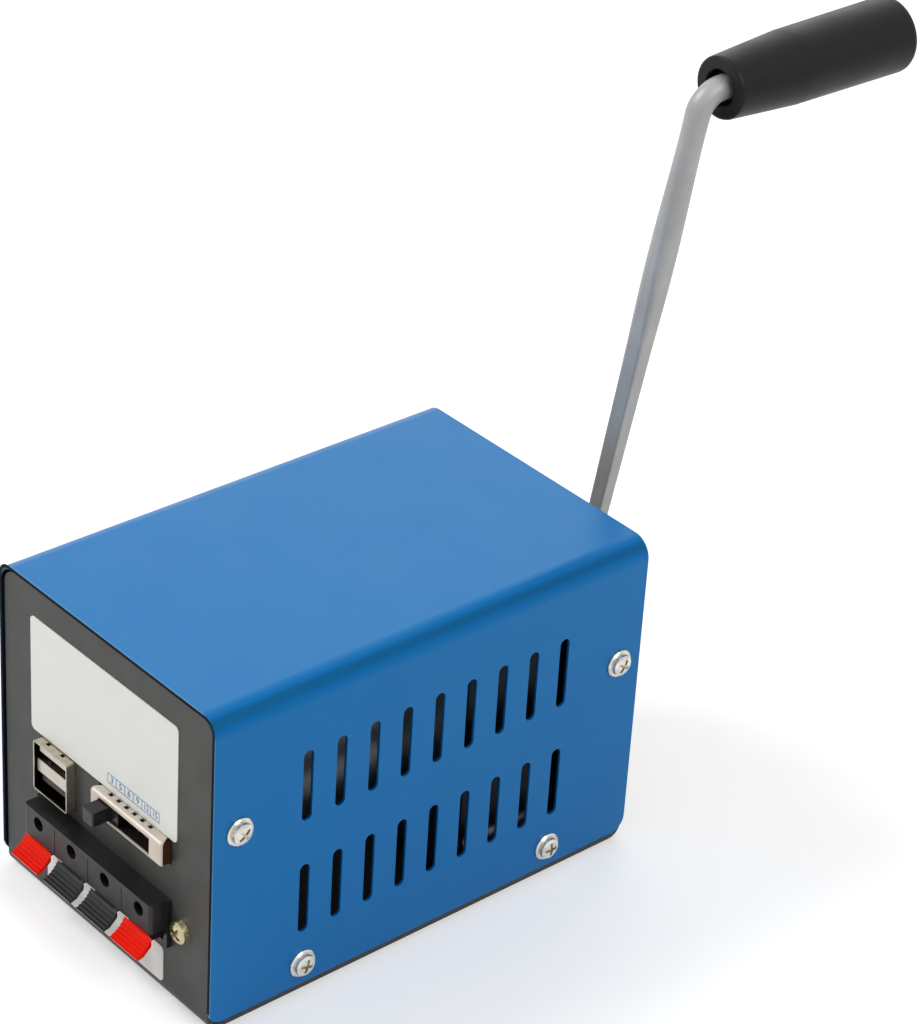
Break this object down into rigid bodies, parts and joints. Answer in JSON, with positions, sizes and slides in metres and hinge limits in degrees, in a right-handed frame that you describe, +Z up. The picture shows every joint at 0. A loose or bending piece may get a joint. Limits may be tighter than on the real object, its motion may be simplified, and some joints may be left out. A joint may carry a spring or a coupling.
{
  "type": "hand crank generator",
  "caption": "Hand-cranked generator in a folded steel case with sockets, a voltage selector slide, spring terminals and a long crank.",
  "frame": {"origin": "centre of the underside of the case, on the surface it stands on", "axes": "+Z up, the front panel faces -Y, the crank is on the +Y side and +X is to the right seen from the front"},
  "size_m": [0.0844, 0.2105, 0.1956],
  "materials": {
    "cover_paint": "semi-gloss powder coat",
    "panel_paint": "fine satin powder coat",
    "black_steel": "black paint",
    "zinc_steel": "zinc plated",
    "bright_steel": "nickel plated",
    "yellow_zinc": "yellow passivated",
    "label_film": "printed film",
    "nickel": "nickel plated",
    "socket_plastic": "moulded",
    "contact_metal": "bright",
    "laminate": "pressed laminate",
    "black_plastic": "moulded, fine grain",
    "terminal_plastic": "moulded",
    "red_plastic": "moulded",
    "board": "solder mask",
    "component_black": "moulded",
    "aluminium": "drawn",
    "can_steel": "zinc plated",
    "carbon": "pressed",
    "magnet": "sintered",
    "copper": "enamelled copper",
    "gear_steel": "machined",
    "gear_plastic": "moulded",
    "bronze": "sintered bronze",
    "arm_zinc": "zinc plated, dull",
    "grip_plastic": "satin",
    "red_wire": "insulation",
    "black_wire": "insulation"
  },
  "bodies": {
    "case": {"chassis": "panel_paint", "cover": "cover_paint", "cover_screws": "bright_steel", "upper_label": "label_film", "lower_label": "label_film", "usb_shell": "nickel", "usb_tongues": "socket_plastic", "usb_contacts": "contact_metal", "selector_frame": "nickel", "selector_base": "laminate", "selector_contacts": "contact_metal", "terminal_body": "terminal_plastic", "terminal_clips": "contact_metal", "terminal_bracket": "zinc_steel", "terminal_screws": "yellow_zinc", "terminal_nuts": "yellow_zinc", "circuit_board": "board", "board_brackets": "zinc_steel", "board_screws": "zinc_steel", "capacitors": "component_black", "inductor": "copper", "regulator": "component_black", "heat_sink": "aluminium", "generator_can": "can_steel", "generator_bearing": "bronze", "end_bell": "black_plastic", "brushes": "carbon", "magnets": "magnet", "gearbox_front_plate": "zinc_steel", "gearbox_mid_plate": "zinc_steel", "gearbox_rear_plate": "zinc_steel", "gearbox_standoffs": "zinc_steel", "gearbox_screws": "zinc_steel", "gearbox_shroud": "black_steel", "shaft_bushes": "bronze", "red_lead": "red_wire", "black_lead": "black_wire"},
    "crank": {"crank_shaft": "gear_steel", "crank_gear": "gear_steel", "crank_hub": "zinc_steel", "crank_arm": "arm_zinc", "crank_nut": "zinc_steel", "grip_washer": "zinc_steel"},
    "grip": {"grip": "grip_plastic", "grip_cap": "grip_plastic"},
    "first_cluster": {"first_pinion": "gear_steel", "first_gear": "gear_plastic"},
    "second_cluster": {"second_pinion": "gear_steel", "second_gear": "gear_plastic"},
    "rotor": {"rotor_shaft": "gear_steel", "rotor_core": "gear_steel", "rotor_windings": "copper", "commutator": "copper", "rotor_pinion": "gear_steel"},
    "selector_slider": {"selector_knob": "black_plastic"},
    "lever_1": {"lever_1": "red_plastic"},
    "lever_2": {"lever_2": "terminal_plastic"},
    "lever_3": {"lever_3": "terminal_plastic"},
    "lever_4": {"lever_4": "red_plastic"}
  },
  "joints": [
    {"name": "crank_spin", "type": "hinge", "parent": "case", "child": "crank", "pos_m": [0, 0.079, 0.039], "axis": [0, 1, 0], "continuous": true},
    {"name": "grip_spin", "type": "hinge", "parent": "crank", "child": "grip", "pos_m": [0.02656, 0.11, 0.18663], "axis": [0, 1, 0], "continuous": true},
    {"name": "first_spin", "type": "hinge", "parent": "case", "child": "first_cluster", "pos_m": [-0.0144, 0.036, 0.06394], "axis": [0, 1, 0], "continuous": true},
    {"name": "second_spin", "type": "hinge", "parent": "case", "child": "second_cluster", "pos_m": [0.0027, 0.028, 0.05589], "axis": [0, 1, 0], "continuous": true},
    {"name": "rotor_spin", "type": "hinge", "parent": "case", "child": "rotor", "pos_m": [0, 0, 0.039], "axis": [0, 1, 0], "continuous": true},
    {"name": "selector_slide", "type": "slide", "parent": "case", "child": "selector_slider", "axis": [1, 0, 0], "range_m": [0, 0.01475]},
    {"name": "lever_1_press", "type": "hinge", "parent": "case", "child": "lever_1", "pos_m": [-0.01852, -0.0594, 0.0188], "axis": [1, 0, 0], "range_deg": [0, 10], "stiffness_Nm_per_rad": 0.1, "springref_deg": -28.65},
    {"name": "lever_2_press", "type": "hinge", "parent": "case", "child": "lever_2", "pos_m": [-0.00568, -0.0594, 0.0188], "axis": [1, 0, 0], "range_deg": [0, 10], "stiffness_Nm_per_rad": 0.1, "springref_deg": -28.65},
    {"name": "lever_3_press", "type": "hinge", "parent": "case", "child": "lever_3", "pos_m": [0.00717, -0.0594, 0.0188], "axis": [1, 0, 0], "range_deg": [0, 10], "stiffness_Nm_per_rad": 0.1, "springref_deg": -28.65},
    {"name": "lever_4_press", "type": "hinge", "parent": "case", "child": "lever_4", "pos_m": [0.02003, -0.0594, 0.0188], "axis": [1, 0, 0], "range_deg": [0, 10], "stiffness_Nm_per_rad": 0.1, "springref_deg": -28.65}
  ],
  "couplings": [
    {"joint": "first_spin", "follows": "crank_spin", "ratio": -5},
    {"joint": "second_spin", "follows": "crank_spin", "ratio": 17.5},
    {"joint": "rotor_spin", "follows": "crank_spin", "ratio": -65.625}
  ]
}
